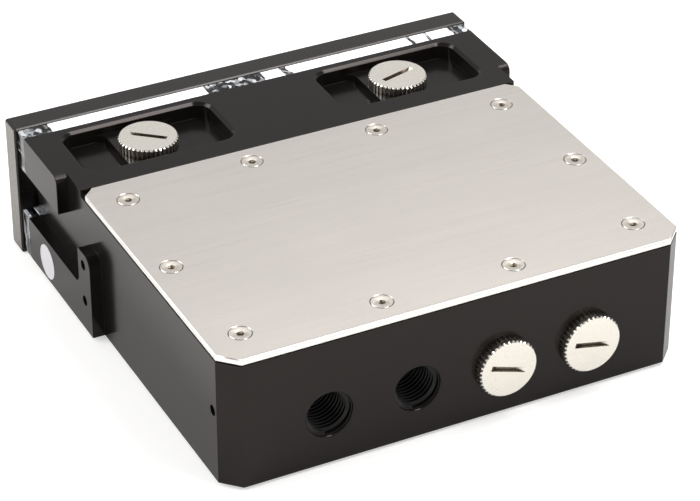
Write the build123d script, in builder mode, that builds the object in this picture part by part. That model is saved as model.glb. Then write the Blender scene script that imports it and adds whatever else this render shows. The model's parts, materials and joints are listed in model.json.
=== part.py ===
from build123d import *
import math
import os

# Drive bay reservoir: a coolant tank for one 5.25 inch bay.
# Millimetres. X runs across the bay, -Y points out of the front, +Z is up.
# The origin is the centre of the whole object's footprint, at the bezel's lower edge.

# Bay standard: hole places are behind the bezel and above the body's underside
bay_width = 146.05
first_hole_back = 47.4
hole_pitch_back = 79.25
lower_hole_up = 10.0
upper_hole_up = 21.84
bay_thread_radius = 1.5
bay_thread_depth = 6.0

# Bezel
bezel_height = 42.0
bezel_side_lip = 0.975
bezel_top_lip = 0.4
bezel_thickness = 8.0
bezel_corner_radius = 0.8
bezel_front_chamfer = 0.8
bezel_rear_chamfer = 0.4
window_side_margin = 9.625
window_middle_bar = 34.8
window_corner_radius = 4.0
window_bevel = 1.0

# Clear window block
block_thickness = 5.0
block_inset = 0.1

# Machined body
body_back = 134.2
body_bottom = 1.0
rail_width = 3.675
rear_corner_chamfer = 5.1
seat_back = 38.7
ear_back = 29.8
ear_height = 12.0
ear_corner_radius = 2.3
rail_top_up = 13.7
hook_front_back = 43.6
hook_rear_back = 52.2
hook_top_up = 25.9
hook_corner_radius = 3.5
hook_edge_radius = 0.8
hook_root_radius = 2.5

# Fill pockets, with a raised land under each cap and finger recesses beside it
fill_back = 19.45
pocket_end_margin = 0.6
pocket_width = 24.2
pocket_corner_radius = 5.0
pocket_rim_chamfer = 0.85
land_width = 18.6
recess_depth = 5.05
recess_corner_radius = 2.7

# Ports, G1/4: the bores are at the thread's major diameter
port_radius = 6.58
port_mouth_radius = 6.85
port_mouth_depth = 1.6
port_up = 15.5
port_end_margin = 13.85

# Tank and window chambers
tank_side_wall = 16.35
tank_width = 66.0
tank_corner_radius = 8.0
tank_floor = 4.0
tank_floor_radius = 2.0
rear_wall = 15.0
chamber_floor = 6.5
chamber_roof = 11.1
chamber_depth = 27.0
passage_end_step = 6.0
passage_edge_step = 3.5
passage_corner_radius = 4.0
break_through = 1.0

# Top plate
plate_thickness = 2.0
plate_side_gap = 0.12
plate_front_chamfer = 3.2
plate_edge_chamfer = 0.25

# Seals
cord_width = 1.8
cord_height = 1.3
cord_gap = 0.1
cord_edge_radius = 0.35
tank_seal_wall = 1.5
window_seal_wall_side = 1.4
window_seal_wall_end = 2.0

# M3 countersunk screws
screw_radius = 1.45
screw_clearance = 0.05
screw_seat_gap = 0.03
screw_hole_spare = 1.0
screw_head_radius = 2.8
screw_head_angle = 90.0
screw_tip_chamfer = 0.3
screw_socket_width = 2.0
screw_socket_depth = 1.2
countersink_radius = 3.35
plate_screw_length = 9.0
bezel_screw_length = 24.0
plate_screw_side_margin = 6.95
plate_screw_corner_margin = 10.15
plate_screw_inner = 19.8
plate_screw_end = 40.1
plate_screw_corner_end = 36.8
plate_screw_middle_back = 85.9
bezel_screw_window_margin = 6.0
bezel_screw_side_margin = 3.625
bezel_screw_edge_margin = 6.4

# Knurled plugs
plug_head_radius = 8.75
plug_head_thickness = 3.0
plug_teeth = 40
plug_tooth_depth = 0.42
plug_head_chamfer = 0.45
plug_running_gap = 0.06
plug_shank_length = 8.0
plug_tip_chamfer = 0.7
plug_slot_width = 1.6
plug_slot_length = 11.3
plug_slot_depth = 1.9
plug_seal_gap = 0.12
plug_seal_height = 1.05
plug_seal_inner = 6.9
plug_seal_outer = 7.9
plug_seal_edge_radius = 0.3
fill_slot_angle_right = 140.0
fill_slot_angle_left = 16.0
port_slot_angle_inner = -18.0
port_slot_angle_outer = -12.0

# Blank round sticker on the right rail
sticker_radius = 5.3
sticker_thickness = 0.12
sticker_back = 18.6
sticker_up = 6.4

# How near two places are to count as one
same_place = 0.01

# Sizes and places worked out from the sizes above
bezel_width = bay_width + 2 * bezel_side_lip
body_width = bay_width - 2 * rail_width
body_height = bezel_height - body_bottom - bezel_top_lip
window_width = bay_width / 2 - window_side_margin - window_middle_bar / 2
window_height = body_height - chamber_floor - chamber_roof
fill_offset = (window_middle_bar + window_width) / 2
pocket_length = window_width + 2 * pocket_end_margin
passage_width = window_width - 2 * passage_end_step
passage_height = window_height - 2 * passage_edge_step
tank_length = body_width - 2 * tank_side_wall
port_pitch = (tank_length - 2 * port_end_margin) / 3
overall_depth = bezel_thickness + body_back + plug_head_thickness
bay_y = bezel_thickness - overall_depth / 2
front_y = bay_y - bezel_thickness
block_rear_y = bay_y + block_thickness
rear_y = bay_y + body_back
seat_y = bay_y + seat_back
ear_rear_y = bay_y + ear_back
hook_front_y = bay_y + hook_front_back
hook_rear_y = bay_y + hook_rear_back
first_hole_y = bay_y + first_hole_back
second_hole_y = first_hole_y + hole_pitch_back
fill_y = bay_y + fill_back
middle_y = bay_y + plate_screw_middle_back
tank_rear_y = rear_y - rear_wall
tank_centre_y = tank_rear_y - tank_width / 2
tank_front_y = tank_rear_y - tank_width
body_top = body_bottom + body_height
plate_seat = body_top - plate_thickness
land_z = body_top - plug_head_thickness
recess_z = body_top - recess_depth
ear_z = body_top - ear_height
rail_z = body_bottom + rail_top_up
hook_z = body_bottom + hook_top_up
chamber_z = body_bottom + chamber_floor + window_height / 2
chamber_top = chamber_z + window_height / 2
tank_floor_z = body_bottom + tank_floor
port_z = body_bottom + port_up
lower_hole_z = body_bottom + lower_hole_up
upper_hole_z = body_bottom + upper_hole_up
plate_half_width = body_width / 2 - plate_side_gap
plug_shank_radius = port_radius - plug_running_gap
screw_hole_radius = screw_radius + screw_clearance
groove_width = cord_width + 2 * cord_gap
groove_depth = cord_height + cord_gap
tank_seal_grow = groove_width + 2 * tank_seal_wall
window_seal_grow_side = groove_width + 2 * window_seal_wall_side
window_seal_grow_end = groove_width + 2 * window_seal_wall_end
window_seal_radius = window_corner_radius + window_seal_grow_side / 2
tank_seal_radius = tank_corner_radius + tank_seal_grow / 2

fill_places = [(fill_offset, fill_y), (-fill_offset, fill_y)]
window_centres = [(fill_offset, chamber_z), (-fill_offset, chamber_z)]
port_offsets = [(i - 1.5) * port_pitch for i in range(4)]
plate_screw_side = body_width / 2 - plate_screw_side_margin
plate_screw_corner = body_width / 2 - plate_screw_corner_margin
plate_screw_places = [(side * plate_screw_side, middle_y) for side in (-1, 1)]
for side in (-1, 1):
    for end in (-1, 1):
        corner = (side * plate_screw_corner, middle_y + end * plate_screw_corner_end)
        inner = (side * plate_screw_inner, middle_y + end * plate_screw_end)
        plate_screw_places += [corner, inner]
plug_saw_radius = (plug_slot_length**2 / 4 + plug_slot_depth**2) / (2 * plug_slot_depth)
bezel_screw_inner = window_middle_bar / 2 - bezel_screw_window_margin
bezel_screw_outer = bay_width / 2 - bezel_screw_side_margin
bezel_screw_places = [
    (side * across, z)
    for side in (-1, 1)
    for across in (bezel_screw_inner, bezel_screw_outer)
    for z in (body_bottom + bezel_screw_edge_margin, body_top - bezel_screw_edge_margin)
]

os.makedirs("parts", exist_ok=True)


def front_plane(y):
    """A plane facing the user, out of the bay, with X to the right and Z up."""
    return Plane(origin=(0, y, 0), x_dir=(1, 0, 0), z_dir=(0, -1, 0))


def rear_plane(x, z):
    """A seat on the rear face, facing out of it, with its own x running to -X."""
    return Plane(origin=(x, rear_y, z), x_dir=(-1, 0, 0), z_dir=(0, 1, 0))


def side_plane(x, facing):
    """A plane facing +X or -X, with its own y up."""
    return Plane(origin=(x, 0, 0), x_dir=(0, facing, 0), z_dir=(facing, 0, 0))


def axial_plane(seat):
    """The plane through a seat's axis, with x outwards from it and y along it."""
    return Plane(origin=seat.origin, x_dir=seat.x_dir, z_dir=-seat.y_dir)


def ring(length, width, radius, thickness):
    """A rounded rectangular band, centred on its outline, in the open sketch."""
    RectangleRounded(length + thickness, width + thickness, radius + thickness / 2)
    RectangleRounded(
        length - thickness, width - thickness, radius - thickness / 2, mode=Mode.SUBTRACT
    )


def make_cord(plane, length, width, radius):
    """A moulded sealing cord that lies on a plane, with its edges rounded."""
    with BuildPart() as cord:
        with BuildSketch(plane):
            ring(length, width, radius, cord_width)
        extrude(amount=-cord_height)
        flat_faces = cord.faces().filter_by(GeomType.PLANE).sort_by(Axis(plane.origin, plane.z_dir))
        fillet(flat_faces[0].edges() + flat_faces[-1].edges(), radius=cord_edge_radius)
    return cord.part


def make_screws(seats, length):
    """Countersunk screws, one on each seat, with the head's top at the seat's origin."""
    head_height = screw_head_radius - screw_radius
    with BuildPart() as screws:
        for seat in seats:
            with BuildSketch(axial_plane(seat)):
                with BuildLine():
                    Polyline(
                        (0, 0),
                        (0, -length),
                        (screw_radius - screw_tip_chamfer, -length),
                        (screw_radius, screw_tip_chamfer - length),
                        (screw_radius, -head_height),
                        (screw_head_radius, 0),
                        close=True,
                    )
                make_face()
            revolve(axis=Axis(seat.origin, seat.z_dir))
            # Hexagon socket
            with BuildSketch(seat):
                RegularPolygon(screw_socket_width / 2, side_count=6, major_radius=False)
            extrude(amount=-screw_socket_depth, mode=Mode.SUBTRACT)
    return screws.part


def make_plug(seat, slot_angle):
    """A knurled, slotted screw plug whose head rests on a seat."""
    root_radius = plug_head_radius - plug_tooth_depth
    teeth = []
    for i in range(2 * plug_teeth):
        radius = plug_head_radius if i % 2 == 0 else root_radius
        angle = math.pi * i / plug_teeth
        teeth.append((radius * math.cos(angle), radius * math.sin(angle)))
    with BuildPart() as plug:
        # Knurled head, turned to a chamfered disc
        with BuildSketch(seat):
            with BuildLine():
                Polyline(*teeth, close=True)
            make_face()
        extrude(amount=plug_head_thickness)
        with BuildSketch(axial_plane(seat)):
            with BuildLine():
                Polyline(
                    (0, 0),
                    (plug_head_radius - plug_head_chamfer / 2, 0),
                    (plug_head_radius, plug_head_chamfer / 2),
                    (plug_head_radius, plug_head_thickness - plug_head_chamfer),
                    (plug_head_radius - plug_head_chamfer, plug_head_thickness),
                    (0, plug_head_thickness),
                    close=True,
                )
            make_face()
        revolve(axis=Axis(seat.origin, seat.z_dir), mode=Mode.INTERSECT)
        # Shank at the thread's major diameter
        with BuildSketch(axial_plane(seat)):
            with BuildLine():
                Polyline(
                    (0, plug_head_thickness / 2),
                    (0, -plug_shank_length),
                    (plug_shank_radius - plug_tip_chamfer, -plug_shank_length),
                    (plug_shank_radius, plug_tip_chamfer - plug_shank_length),
                    (plug_shank_radius, plug_head_thickness / 2),
                    close=True,
                )
            make_face()
        revolve(axis=Axis(seat.origin, seat.z_dir))
        # Groove under the head for the sealing ring
        with BuildSketch(seat):
            Circle(plug_seal_outer + plug_seal_gap)
            Circle(plug_shank_radius, mode=Mode.SUBTRACT)
        extrude(amount=plug_seal_height + 2 * plug_seal_gap, mode=Mode.SUBTRACT)
        # Coin slot, sawn across the face, so that its floor follows the saw's rim
        turn = math.radians(slot_angle)
        along = seat.x_dir * math.cos(turn) + seat.y_dir * math.sin(turn)
        across = seat.z_dir.cross(along)
        saw_centre = seat.origin + seat.z_dir * (plug_head_thickness + plug_saw_radius - plug_slot_depth)
        with BuildSketch(Plane(saw_centre - across * (plug_slot_width / 2), x_dir=along, z_dir=across)):
            Circle(plug_saw_radius)
        extrude(amount=plug_slot_width, mode=Mode.SUBTRACT)
    return plug.part


def make_plug_seal(seat):
    """The sealing ring that a plug's head presses on its port's face."""
    with BuildPart() as seal:
        with BuildSketch(seat.offset(plug_seal_gap)):
            Circle(plug_seal_outer)
            Circle(plug_seal_inner, mode=Mode.SUBTRACT)
        extrude(amount=plug_seal_height)
        fillet(seal.edges(), radius=plug_seal_edge_radius)
    return seal.part


def save(part, name):
    """Label a finished piece and write its file."""
    part.label = name
    export_step(part, "parts/" + name + ".step")


# Front bezel
with BuildPart() as front_bezel:
    with BuildSketch(front_plane(bay_y)):
        with Locations((0, bezel_height / 2)):
            RectangleRounded(bezel_width, bezel_height, bezel_corner_radius)
    extrude(amount=bezel_thickness)
    chamfer(front_bezel.faces().sort_by(Axis.Y)[0].edges(), length=bezel_front_chamfer)
    chamfer(front_bezel.faces().sort_by(Axis.Y)[-1].edges(), length=bezel_rear_chamfer)
    with BuildSketch(front_plane(front_y)):
        with Locations(*window_centres):
            RectangleRounded(window_width, window_height, window_corner_radius)
    extrude(amount=-bezel_thickness, mode=Mode.SUBTRACT)
    window_rims = front_bezel.faces().sort_by(Axis.Y)[0].inner_wires().edges()
    chamfer(window_rims, length=window_bevel)
    with Locations(front_plane(front_y)):
        with Locations(*bezel_screw_places):
            CounterSinkHole(
                radius=screw_hole_radius,
                counter_sink_radius=countersink_radius,
                depth=bezel_thickness,
                counter_sink_angle=screw_head_angle,
            )
save(front_bezel.part, "front_bezel")

# Clear window block, notched at the sides like the rails behind it
with BuildPart() as window_block:
    block_bottom = body_bottom + block_inset
    block_top = body_top - block_inset
    with BuildSketch(front_plane(bay_y)):
        with Locations((0, (block_bottom + block_top) / 2)):
            Rectangle(body_width, block_top - block_bottom)
        with Locations((0, (ear_z + block_top) / 2)):
            Rectangle(bay_width, block_top - ear_z)
        with Locations((0, (block_bottom + rail_z) / 2)):
            Rectangle(bay_width, rail_z - block_bottom)
    extrude(amount=-block_thickness)
    with Locations(front_plane(bay_y)):
        with Locations(*bezel_screw_places):
            Hole(radius=screw_hole_radius, depth=block_thickness)
save(window_block.part, "window_block")

# Machined body
with BuildPart() as reservoir_body:
    # Core under the plate, with the two rear corners cut off
    with BuildSketch(Plane.XY.offset(body_bottom)) as core:
        with Locations((0, (block_rear_y + rear_y) / 2)):
            Rectangle(body_width, rear_y - block_rear_y)
        chamfer(core.vertices().group_by(Axis.Y)[-1], length=rear_corner_chamfer)
    extrude(amount=plate_seat - body_bottom)
    # Front section, as high as the plate's top
    with BuildSketch(Plane.XY.offset(plate_seat)):
        with Locations((0, (block_rear_y + seat_y) / 2)):
            Rectangle(body_width, seat_y - block_rear_y)
    extrude(amount=plate_thickness)
    # Ears above, out to the full width of the bay
    with BuildSketch(side_plane(-bay_width / 2, 1)) as ears:
        with Locations(((block_rear_y + ear_rear_y) / 2, (ear_z + body_top) / 2)):
            Rectangle(ear_rear_y - block_rear_y, body_top - ear_z)
        top_rear = ears.vertices().group_by(Axis.X)[-1].sort_by(Axis.Y)[-1]
        fillet(top_rear, radius=ear_corner_radius)
    extrude(amount=bay_width)
    # Rails below, each with a raised hook for two of the bay's screws
    with BuildSketch(side_plane(-bay_width / 2, 1)) as rails:
        with Locations(((block_rear_y + hook_rear_y) / 2, (body_bottom + rail_z) / 2)):
            Rectangle(hook_rear_y - block_rear_y, rail_z - body_bottom)
        with Locations(((hook_front_y + hook_rear_y) / 2, (body_bottom + hook_z) / 2)):
            Rectangle(hook_rear_y - hook_front_y, hook_z - body_bottom)
        fillet(rails.vertices().group_by(Axis.Y)[1].sort_by(Axis.X)[-1], radius=hook_root_radius)
        fillet(rails.vertices().group_by(Axis.Y)[-1].sort_by(Axis.X)[-1], radius=hook_corner_radius)
        fillet(rails.vertices().group_by(Axis.Y)[-1].sort_by(Axis.X)[0], radius=hook_edge_radius)
    extrude(amount=bay_width)
    # Fill pockets, down to the land that carries each cap, with the rim chamfered
    inner_length = pocket_length - 2 * pocket_rim_chamfer
    inner_width = pocket_width - 2 * pocket_rim_chamfer
    inner_radius = pocket_corner_radius - pocket_rim_chamfer
    with BuildSketch(Plane.XY.offset(body_top)):
        with Locations(*fill_places):
            RectangleRounded(inner_length, inner_width, inner_radius)
    extrude(amount=land_z - body_top, mode=Mode.SUBTRACT)
    pocket_rims = reservoir_body.faces().sort_by(Axis.Z)[-1].inner_wires().edges()
    chamfer(pocket_rims, length=pocket_rim_chamfer)
    # Finger recesses on both sides of each land
    with BuildSketch(Plane.XY.offset(land_z)) as recesses:
        with Locations(*fill_places):
            RectangleRounded(inner_length, inner_width, inner_radius)
            Rectangle(land_width, pocket_width, mode=Mode.SUBTRACT)
        land_corners = [
            corner
            for corner in recesses.vertices()
            if math.isclose(abs(abs(corner.X) - fill_offset), land_width / 2, abs_tol=same_place)
        ]
        fillet(land_corners, radius=recess_corner_radius)
    extrude(amount=recess_z - land_z, mode=Mode.SUBTRACT)
    # Tank under the plate, with its floor's edge rounded
    with BuildSketch(Plane.XY.offset(plate_seat)):
        with Locations((0, tank_centre_y)):
            RectangleRounded(tank_length, tank_width, tank_corner_radius)
    extrude(amount=tank_floor_z - plate_seat, mode=Mode.SUBTRACT)
    tank_floor_edges = reservoir_body.edges().filter_by_position(
        Axis.Z, tank_floor_z - same_place, tank_floor_z + same_place
    )
    fillet(tank_floor_edges, radius=tank_floor_radius)
    # Window chambers behind the bezel's two windows, each open to the tank
    with BuildSketch(front_plane(block_rear_y)):
        with Locations(*window_centres):
            RectangleRounded(window_width, window_height, window_corner_radius)
    extrude(amount=-chamber_depth, mode=Mode.SUBTRACT)
    with BuildSketch(front_plane(block_rear_y)):
        with Locations(*window_centres):
            RectangleRounded(passage_width, passage_height, passage_corner_radius)
    extrude(amount=block_rear_y - tank_front_y - break_through, mode=Mode.SUBTRACT)
    # Fill ports through the lands into the chambers
    with Locations(*[(x, y, land_z) for x, y in fill_places]):
        CounterBoreHole(
            radius=port_radius,
            counter_bore_radius=port_mouth_radius,
            counter_bore_depth=port_mouth_depth,
            depth=land_z - chamber_top + break_through,
        )
    # Four ports through the rear wall into the tank
    with Locations(*[rear_plane(x, port_z) for x in port_offsets]):
        CounterBoreHole(
            radius=port_radius,
            counter_bore_radius=port_mouth_radius,
            counter_bore_depth=port_mouth_depth,
            depth=rear_wall + break_through,
        )
    # Seal grooves round the tank and the windows
    with BuildSketch(Plane.XY.offset(plate_seat)):
        with Locations((0, tank_centre_y)):
            ring(
                tank_length + tank_seal_grow,
                tank_width + tank_seal_grow,
                tank_seal_radius,
                groove_width,
            )
    extrude(amount=-groove_depth, mode=Mode.SUBTRACT)
    with BuildSketch(front_plane(block_rear_y)):
        with Locations(*window_centres):
            ring(
                window_width + window_seal_grow_side,
                window_height + window_seal_grow_end,
                window_seal_radius,
                groove_width,
            )
    extrude(amount=-groove_depth, mode=Mode.SUBTRACT)
    # Tapped holes for the plate's and the bezel's screws
    with Locations(*[(x, y, plate_seat) for x, y in plate_screw_places]):
        Hole(radius=screw_hole_radius, depth=plate_screw_length - plate_thickness + screw_hole_spare)
    bezel_screw_grip = bezel_screw_length - bezel_thickness - block_thickness
    with Locations(front_plane(block_rear_y)):
        with Locations(*bezel_screw_places):
            Hole(radius=screw_hole_radius, depth=bezel_screw_grip + screw_hole_spare)
    # Tapped holes for the bay's own screws: two in each hook and one near each rear corner
    for facing in (-1, 1):
        with Locations(side_plane(facing * bay_width / 2, facing)):
            with Locations(
                (facing * first_hole_y, lower_hole_z),
                (facing * first_hole_y, upper_hole_z),
            ):
                Hole(radius=bay_thread_radius, depth=bay_thread_depth)
        with Locations(side_plane(facing * body_width / 2, facing)):
            with Locations((facing * second_hole_y, upper_hole_z)):
                Hole(radius=bay_thread_radius, depth=bay_thread_depth)
save(reservoir_body.part, "reservoir_body")

# Top plate
with BuildPart() as top_plate:
    with BuildSketch(Plane.XY.offset(plate_seat)) as plate_outline:
        with Locations((0, (seat_y + plate_side_gap + rear_y) / 2)):
            Rectangle(2 * plate_half_width, rear_y - seat_y - plate_side_gap)
        chamfer(plate_outline.vertices().group_by(Axis.Y)[0], length=plate_front_chamfer)
        chamfer(plate_outline.vertices().group_by(Axis.Y)[-1], length=rear_corner_chamfer)
    extrude(amount=plate_thickness)
    chamfer(top_plate.faces().sort_by(Axis.Z)[-1].edges(), length=plate_edge_chamfer)
    with Locations(*[(x, y, body_top) for x, y in plate_screw_places]):
        CounterSinkHole(
            radius=screw_hole_radius,
            counter_sink_radius=countersink_radius,
            depth=plate_thickness,
            counter_sink_angle=screw_head_angle,
        )
save(top_plate.part, "top_plate")

# Sealing cords in their grooves
save(
    make_cord(
        Plane.XY.offset(plate_seat).shift_origin((0, tank_centre_y, plate_seat)),
        tank_length + tank_seal_grow,
        tank_width + tank_seal_grow,
        tank_seal_radius,
    ),
    "tank_seal",
)
for name, (x, z) in zip(("right", "left"), window_centres):
    save(
        make_cord(
            front_plane(block_rear_y).shift_origin((x, block_rear_y, z)),
            window_width + window_seal_grow_side,
            window_height + window_seal_grow_end,
            window_seal_radius,
        ),
        "window_seal_" + name,
    )

# Countersunk screws, their heads resting on the cones of their holes
head_drop = countersink_radius - screw_head_radius - screw_seat_gap
plate_screw_seats = [
    Plane(origin=(x, y, body_top - head_drop)) for x, y in plate_screw_places
]
bezel_screw_seats = [
    Plane(origin=(x, front_y + head_drop, z), x_dir=(1, 0, 0), z_dir=(0, -1, 0))
    for x, z in bezel_screw_places
]
save(make_screws(plate_screw_seats, plate_screw_length), "plate_screws")
save(make_screws(bezel_screw_seats, bezel_screw_length), "bezel_screws")

# Fill caps on their lands, and plugs in the two ports that aren't used
for name, (x, y), angle in zip(
    ("fill_cap_right", "fill_cap_left"),
    fill_places,
    (fill_slot_angle_right, fill_slot_angle_left),
):
    seat = Plane(origin=(x, y, land_z))
    save(make_plug(seat, angle), name)
    save(make_plug_seal(seat), name + "_seal")
for name, x, angle in (
    ("port_plug_inner", port_offsets[1], port_slot_angle_inner),
    ("port_plug_outer", port_offsets[0], port_slot_angle_outer),
):
    seat = rear_plane(x, port_z)
    save(make_plug(seat, angle), name)
    save(make_plug_seal(seat), name + "_seal")

# Blank sticker on the right rail
with BuildPart() as blank_sticker:
    with BuildSketch(side_plane(bay_width / 2, 1)):
        with Locations((bay_y + sticker_back, body_bottom + sticker_up)):
            Circle(sticker_radius)
    extrude(amount=sticker_thickness)
save(blank_sticker.part, "blank_sticker")
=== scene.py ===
"""Looks of the drive bay reservoir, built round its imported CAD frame.

Metres. X runs across the bay, -Y out of its front, and Z up.
"""

import json
import math
from functools import partial

import bmesh
import bpy
from bpy.props import FloatProperty, FloatVectorProperty, IntProperty, PointerProperty
from mathutils import Euler, Matrix, Vector


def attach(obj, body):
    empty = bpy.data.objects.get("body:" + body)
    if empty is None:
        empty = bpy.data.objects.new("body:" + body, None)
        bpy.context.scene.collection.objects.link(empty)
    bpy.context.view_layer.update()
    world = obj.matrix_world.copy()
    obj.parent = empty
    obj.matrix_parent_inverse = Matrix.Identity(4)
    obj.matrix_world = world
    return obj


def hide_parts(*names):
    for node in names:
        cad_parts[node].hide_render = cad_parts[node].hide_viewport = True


bl_info = {
    "name": "Drive bay reservoir",
    "version": (1, 0, 0),
    "blender": (4, 5, 0),
    "location": "View3D > Sidebar > Reservoir",
    "description": "Builds the looks of a machined coolant reservoir for one drive bay",
    "category": "Add Mesh",
}

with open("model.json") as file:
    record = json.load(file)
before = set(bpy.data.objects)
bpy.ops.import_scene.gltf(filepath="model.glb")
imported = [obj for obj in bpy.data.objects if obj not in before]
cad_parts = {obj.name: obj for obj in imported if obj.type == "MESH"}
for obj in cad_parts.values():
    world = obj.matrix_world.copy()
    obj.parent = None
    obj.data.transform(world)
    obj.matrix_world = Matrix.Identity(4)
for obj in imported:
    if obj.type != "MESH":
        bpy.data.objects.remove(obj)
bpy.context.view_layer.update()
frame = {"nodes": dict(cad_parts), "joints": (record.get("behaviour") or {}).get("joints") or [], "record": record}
record = frame["record"]

MM = 0.001
# Points nearer than the first are merged, and places nearer than the second count as the same
MERGED = 0.001 * MM
SAME = 0.01 * MM
ROOT = "reservoir"

# Which way each plug's slot points, in degrees from the plug's own x axis
SLOT_ANGLES = {
    "fill_cap_right": 140.0,
    "fill_cap_left": 16.0,
    "port_plug_inner": -18.0,
    "port_plug_outer": -12.0,
}
# How much further each screw is turned than the one before it, in degrees
TIGHTENED_APART = 37
# How far a thread runs below its port's face: through the rear wall, or the thinner roof of a window chamber
REAR_THREAD_DEPTH = 14.9 * MM
FILL_THREAD_DEPTH = 8.0 * MM
# The mouth that each port has in its solid, with a little to spare round it
SOLID_MOUTH_DEPTH = 1.6 * MM
MOUTH_RADIUS = 7.0 * MM
# How far the plate's cut corners reach in from its outline
RIM_CORNER = 3.5 * MM
# Half the angle between a Whitworth thread's flanks, in degrees
FLANK_ANGLE = 27.5
# Length of the lead-in at a shank's tip, and how far the shank reaches up into its head
LEAD_IN = 0.4 * MM

# On the clear block, in millimetres: the stretches along x where a painted glow on its top stands in for light
# that the windows pipe up, and the heights and widths past which a point is on its top or its ends
LIT_STRETCHES = ((14.5, 63.8), (-10.4, -4.2), (-53.1, -12.6), (-58.7, -54.2), (-67.5, -59.9))
BLOCK_TOP = 41.35
BLOCK_END = 72.9

# The camera that a fit to the photograph gave
CAMERA_PLACE = (0.312023, 0.622258, 0.461806)
CAMERA_TURN = (57.3994, -0.0408, 153.2632)
CAMERA_LENS = 148.904
CAMERA_SENSOR = 36.0


def linear(hex_colour):
    """An sRGB hex colour as the linear RGBA that shaders take."""
    channels = [int(hex_colour[i : i + 2], 16) / 255 for i in (0, 2, 4)]
    return [c / 12.92 if c <= 0.04045 else ((c + 0.055) / 1.055) ** 2.4 for c in channels] + [1.0]


def length_property(name, description, millimetres):
    """A length that a user can change, in metres."""
    kind = {"min": 0.0, "subtype": "DISTANCE", "unit": "LENGTH"}
    return FloatProperty(name=name, description=description, default=millimetres * MM, **kind)


def colour_property(name, description, hex_colour):
    """A colour that a user can change."""
    kind = {"min": 0.0, "max": 1.0, "size": 3, "subtype": "COLOR"}
    return FloatVectorProperty(name=name, description=description, default=linear(hex_colour)[:3], **kind)


class RESERVOIR_PG_sizes(bpy.types.PropertyGroup):
    """Sizes of what the looks add to the frame."""

    bezel_edge: length_property("Bezel edge", "Width of the broken edges on the bezel", 0.08)
    air_film: length_property("Air film", "Air between the clear block and what it is bolted between", 0.04)
    body_edge: length_property("Body edge", "Width of the broken edges on the milled body", 0.16)
    block_edge: length_property("Block edge", "Width of the broken edges on the clear block", 0.18)
    head_radius: length_property("Head radius", "Radius of a plug's head over its teeth", 8.75)
    head_height: length_property("Head height", "Height of a plug's head", 3.0)
    head_chamfer: length_property("Head chamfer", "Height of the chamfer round a plug's face", 0.42)
    tooth_depth: length_property("Tooth depth", "Depth of the straight knurl", 0.42)
    teeth: IntProperty(name="Teeth", description="Number of teeth in the knurl", default=40, min=12, max=90)
    slot_width: length_property("Slot width", "Width of the coin slot", 1.6)
    slot_length: length_property("Slot length", "Length of the coin slot", 11.3)
    slot_depth: length_property("Slot depth", "Depth of the coin slot at its middle", 1.9)
    seal_groove_radius: length_property("Seal groove radius", "Radius of the groove under the head", 8.02)
    seal_groove_height: length_property("Seal groove height", "Height of the groove under the head", 1.29)
    shank_length: length_property("Shank length", "Length of a plug's threaded shank", 8.0)
    thread_crest: length_property("Thread crest", "Outer radius of a plug's thread", 6.52)
    thread_root: length_property("Thread root", "Radius between the ridges of a plug's thread", 5.66)
    port_radius: length_property("Port radius", "Radius of a port's bore, at the root of its thread", 6.58)
    port_crest: length_property("Port crest", "Radius inside the ridges of a port's thread", 5.72)
    port_mouth: length_property("Port mouth", "Depth of the plain mouth of a port", 0.8)
    port_chamfer: length_property("Port chamfer", "Width of the chamfer round a port's rim", 0.35)
    pitch: length_property("Pitch", "Distance between two turns of the ports' thread", 1.337)
    flank_gap: length_property("Flank gap", "Gap between the flanks of the two threads", 0.06)
    screw_head: length_property("Screw head", "Radius of a countersunk screw's head", 3.05)
    screw_rim: length_property("Screw rim", "Height of the straight rim of a screw's head", 0.24)
    screw_rise: length_property("Screw rise", "How far a head stands above its solid, to end flush", 0.49)
    screw_shank: length_property("Screw shank", "Outer radius of a screw's thread", 1.45)
    screw_core: length_property("Screw core", "Radius between the ridges of a screw's thread", 1.23)
    screw_pitch: length_property("Screw pitch", "Distance between two turns of a screw's thread", 0.5)
    socket_width: length_property("Socket width", "Width of the hexagon socket across its flats", 2.0)
    socket_depth: length_property("Socket depth", "Depth of the hexagon socket", 1.2)
    socket_lead: length_property("Socket lead", "Width of the dished ring round the hexagon socket", 0.75)
    socket_dish: length_property("Socket dish", "Depth of the dished ring round the hexagon socket", 0.22)
    plate_edge: length_property("Plate edge", "Width of the broken edges on the top plate", 0.08)
    plate_relief: length_property("Plate relief", "Width of the chamfer round the plate's lower rim", 0.4)


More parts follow.
